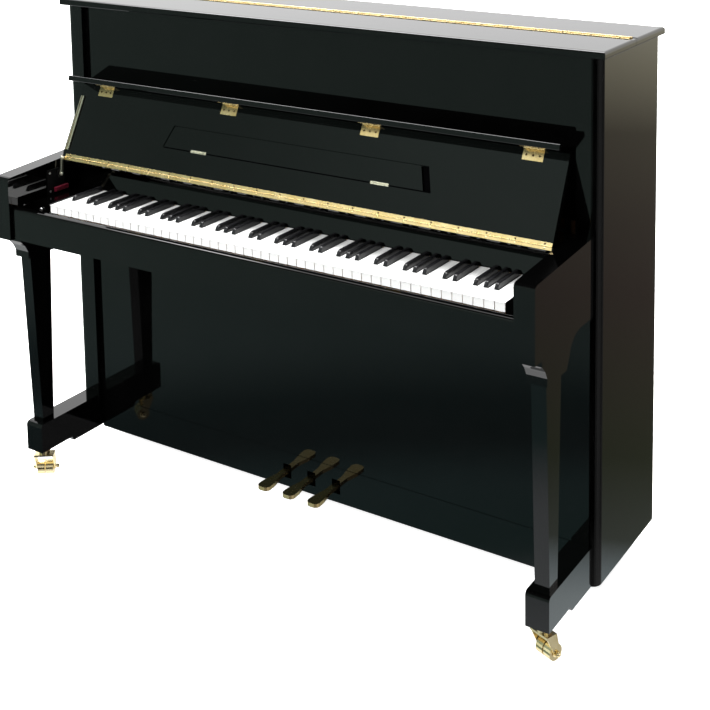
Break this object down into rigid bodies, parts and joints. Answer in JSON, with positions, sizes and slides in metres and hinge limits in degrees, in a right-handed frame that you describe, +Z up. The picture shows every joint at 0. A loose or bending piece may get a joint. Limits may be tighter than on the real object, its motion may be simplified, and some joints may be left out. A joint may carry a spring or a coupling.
{
  "type": "upright piano",
  "caption": "Black polished upright piano with folding lid, leaning fallboard with fold-out music desk, keyboard, pedals, front legs on toe blocks and brass casters.",
  "frame": {"origin": "on the floor under the centre of the overall box", "axes": "+X along the keyboard towards the treble, +Y from the player to the back, +Z up"},
  "size_m": [1.48, 0.5792, 1.1868],
  "materials": {
    "black_lacquer": "polished black polyester over wood",
    "brass": "polished brass",
    "ivory": "white acrylic key tops",
    "ebony": "satin black phenolic",
    "spruce": "clear satin spruce",
    "beech": "clear satin beech",
    "gilt_iron": "bronze-gold paint on cast iron",
    "felt": "crimson wool felt",
    "steel": "brushed steel"
  },
  "bodies": {
    "case": {"side_panel_left": "black_lacquer", "side_panel_right": "black_lacquer", "arm_left": "black_lacquer", "arm_right": "black_lacquer", "leg_left": "black_lacquer", "leg_right": "black_lacquer", "toe_block_left": "black_lacquer", "toe_block_right": "black_lacquer", "key_block_left": "black_lacquer", "key_block_right": "black_lacquer", "keybed": "black_lacquer", "key_slip": "black_lacquer", "nameboard": "black_lacquer", "hinge_rail": "black_lacquer", "upper_panel": "black_lacquer", "lower_panel": "black_lacquer", "bottom_rail": "black_lacquer", "bottom_board": "black_lacquer", "lid_rear": "black_lacquer", "lid_hinge_rear": "brass", "fallboard_hinge_lower": "brass", "closer_body": "ebony", "key_frame": "beech", "action_frame": "steel", "iron_plate": "gilt_iron", "pin_block": "beech", "soundboard": "spruce", "back_frame": "spruce"},
    "lid": {"lid_front": "black_lacquer", "lid_hinge_front": "brass"},
    "fallboard": {"fallboard": "black_lacquer", "fallboard_hinge_upper": "brass", "closer_track": "brass"},
    "fallboard_lip": {"fallboard_lip": "black_lacquer"},
    "music_desk": {"music_desk": "black_lacquer"},
    "closer_link": {"closer_link": "brass"},
    "hammer_rail": {"hammer_rail": "beech"},
    "muffler_rail": {"muffler_rail": "felt"},
    "sustain_rod": {"sustain_rod": "beech"},
    "pedal_left": {"pedal_left": "brass"},
    "pedal_middle": {"pedal_middle": "brass"},
    "pedal_right": {"pedal_right": "brass"},
    "key_c4": {"key_c4": "ivory"},
    "key_cs4": {"key_cs4": "ebony"},
    "key_d4": {"key_d4": "ivory"},
    "key_ds4": {"key_ds4": "ebony"},
    "key_e4": {"key_e4": "ivory"},
    "natural_keys_bass": {"natural_keys_bass": "ivory"},
    "natural_keys_treble": {"natural_keys_treble": "ivory"},
    "sharp_keys_bass": {"sharp_keys_bass": "ebony"},
    "sharp_keys_treble": {"sharp_keys_treble": "ebony"},
    "caster_front_left_fork": {"caster_front_left_fork": "brass"},
    "caster_front_left_wheel": {"caster_front_left_wheel": "brass"},
    "caster_front_right_fork": {"caster_front_right_fork": "brass"},
    "caster_front_right_wheel": {"caster_front_right_wheel": "brass"},
    "caster_rear_left_fork": {"caster_rear_left_fork": "brass"},
    "caster_rear_left_wheel": {"caster_rear_left_wheel": "brass"},
    "caster_rear_right_fork": {"caster_rear_right_fork": "brass"},
    "caster_rear_right_wheel": {"caster_rear_right_wheel": "brass"}
  },
  "joints": [
    {"name": "lid_hinge", "type": "hinge", "parent": "case", "child": "lid", "pos_m": [0, 0.127, 1.187], "axis": [-1, 0, 0], "range_deg": [0, 176]},
    {"name": "fallboard_hinge", "type": "hinge", "parent": "case", "child": "fallboard", "pos_m": [0, -0.118, 0.806], "axis": [1, 0, 0], "range_deg": [0, 120.7]},
    {"name": "lip_hinge", "type": "hinge", "parent": "fallboard", "child": "fallboard_lip", "pos_m": [0, -0.03295, 0.97288], "axis": [1, 0, 0], "range_deg": [0, 74]},
    {"name": "music_desk_hinge", "type": "hinge", "parent": "fallboard", "child": "music_desk", "pos_m": [0, -0.08879, 0.86407], "axis": [1, 0, 0], "range_deg": [0, 92]},
    {"name": "closer_pivot", "type": "hinge", "parent": "case", "child": "closer_link", "pos_m": [-0.6613, -0.127, 0.765], "axis": [1, 0, 0], "range_deg": [0, 51]},
    {"name": "pedal_left_pivot", "type": "hinge", "parent": "case", "child": "pedal_left", "pos_m": [-0.07, 0.03, 0.098], "axis": [1, 0, 0], "range_deg": [0, 6], "stiffness_Nm_per_rad": 15, "springref_deg": -8.59},
    {"name": "pedal_middle_pivot", "type": "hinge", "parent": "case", "child": "pedal_middle", "pos_m": [0, 0.03, 0.098], "axis": [1, 0, 0], "range_deg": [0, 6], "stiffness_Nm_per_rad": 15, "springref_deg": -8.59},
    {"name": "pedal_right_pivot", "type": "hinge", "parent": "case", "child": "pedal_right", "pos_m": [0.07, 0.03, 0.098], "axis": [1, 0, 0], "range_deg": [0, 6], "stiffness_Nm_per_rad": 15, "springref_deg": -8.59},
    {"name": "hammer_rail_pivot", "type": "hinge", "parent": "case", "child": "hammer_rail", "pos_m": [0, 0.05, 0.8], "axis": [-1, 0, 0], "range_deg": [0, 7.1]},
    {"name": "muffler_slide", "type": "slide", "parent": "case", "child": "muffler_rail", "axis": [0, 0, -1], "range_m": [0, 0.0285]},
    {"name": "sustain_slide", "type": "slide", "parent": "case", "child": "sustain_rod", "axis": [0, 0, 1], "range_m": [0, 0.0098]},
    {"name": "key_c4_pivot", "type": "hinge", "parent": "case", "child": "key_c4", "pos_m": [-0.035, -0.008, 0.692], "axis": [1, 0, 0], "range_deg": [0, 2.8], "stiffness_Nm_per_rad": 1.2, "springref_deg": -8.59},
    {"name": "key_cs4_pivot", "type": "hinge", "parent": "case", "child": "key_cs4", "pos_m": [-0.035, -0.008, 0.692], "axis": [1, 0, 0], "range_deg": [0, 2.8], "stiffness_Nm_per_rad": 0.6, "springref_deg": -8.59},
    {"name": "key_d4_pivot", "type": "hinge", "parent": "case", "child": "key_d4", "pos_m": [-0.035, -0.008, 0.692], "axis": [1, 0, 0], "range_deg": [0, 2.8], "stiffness_Nm_per_rad": 1.2, "springref_deg": -8.59},
    {"name": "key_ds4_pivot", "type": "hinge", "parent": "case", "child": "key_ds4", "pos_m": [-0.035, -0.008, 0.692], "axis": [1, 0, 0], "range_deg": [0, 2.8], "stiffness_Nm_per_rad": 0.6, "springref_deg": -8.59},
    {"name": "key_e4_pivot", "type": "hinge", "parent": "case", "child": "key_e4", "pos_m": [-0.035, -0.008, 0.692], "axis": [1, 0, 0], "range_deg": [0, 2.8], "stiffness_Nm_per_rad": 1.2, "springref_deg": -8.59},
    {"name": "natural_keys_bass_pivot", "type": "hinge", "parent": "case", "child": "natural_keys_bass", "pos_m": [0, -0.008, 0.692], "axis": [1, 0, 0], "range_deg": [0, 2.8], "stiffness_Nm_per_rad": 28.8, "springref_deg": -8.59},
    {"name": "natural_keys_treble_pivot", "type": "hinge", "parent": "case", "child": "natural_keys_treble", "pos_m": [0, -0.008, 0.692], "axis": [1, 0, 0], "range_deg": [0, 2.8], "stiffness_Nm_per_rad": 31.2, "springref_deg": -8.59},
    {"name": "sharp_keys_bass_pivot", "type": "hinge", "parent": "case", "child": "sharp_keys_bass", "pos_m": [0, -0.008, 0.692], "axis": [1, 0, 0], "range_deg": [0, 2.8], "stiffness_Nm_per_rad": 10.8, "springref_deg": -8.59},
    {"name": "sharp_keys_treble_pivot", "type": "hinge", "parent": "case", "child": "sharp_keys_treble", "pos_m": [0, -0.008, 0.692], "axis": [1, 0, 0], "range_deg": [0, 2.8], "stiffness_Nm_per_rad": 12, "springref_deg": -8.59},
    {"name": "caster_front_left_swivel", "type": "hinge", "parent": "case", "child": "caster_front_left_fork", "pos_m": [-0.688, -0.199, 0.05], "axis": [0, 0, 1], "continuous": true},
    {"name": "caster_front_left_spin", "type": "hinge", "parent": "caster_front_left_fork", "child": "caster_front_left_wheel", "pos_m": [-0.6966, -0.18671, 0.017], "axis": [0.8192, 0.5736, 0], "continuous": true},
    {"name": "caster_front_right_swivel", "type": "hinge", "parent": "case", "child": "caster_front_right_fork", "pos_m": [0.688, -0.199, 0.05], "axis": [0, 0, 1], "continuous": true},
    {"name": "caster_front_right_spin", "type": "hinge", "parent": "caster_front_right_fork", "child": "caster_front_right_wheel", "pos_m": [0.69313, -0.1849, 0.017], "axis": [0.9397, -0.342, 0], "continuous": true},
    {"name": "caster_rear_left_swivel", "type": "hinge", "parent": "case", "child": "caster_rear_left_fork", "pos_m": [-0.62, 0.215, 0.05], "axis": [0, 0, 1], "continuous": true},
    {"name": "caster_rear_left_spin", "type": "hinge", "parent": "caster_rear_left_fork", "child": "caster_rear_left_wheel", "pos_m": [-0.62, 0.23, 0.017], "axis": [1, 0, 0], "continuous": true},
    {"name": "caster_rear_right_swivel", "type": "hinge", "parent": "case", "child": "caster_rear_right_fork", "pos_m": [0.62, 0.215, 0.05], "axis": [0, 0, 1], "continuous": true},
    {"name": "caster_rear_right_spin", "type": "hinge", "parent": "caster_rear_right_fork", "child": "caster_rear_right_wheel", "pos_m": [0.62, 0.23, 0.017], "axis": [1, 0, 0], "continuous": true}
  ],
  "couplings": [
    {"joint": "closer_pivot", "follows": "fallboard_hinge", "ratio": 0.42},
    {"joint": "hammer_rail_pivot", "follows": "pedal_left_pivot", "ratio": 1.1667},
    {"joint": "muffler_slide", "follows": "pedal_middle_pivot", "m_per_rad": 0.265},
    {"joint": "sustain_slide", "follows": "pedal_right_pivot", "m_per_rad": 0.091}
  ]
}
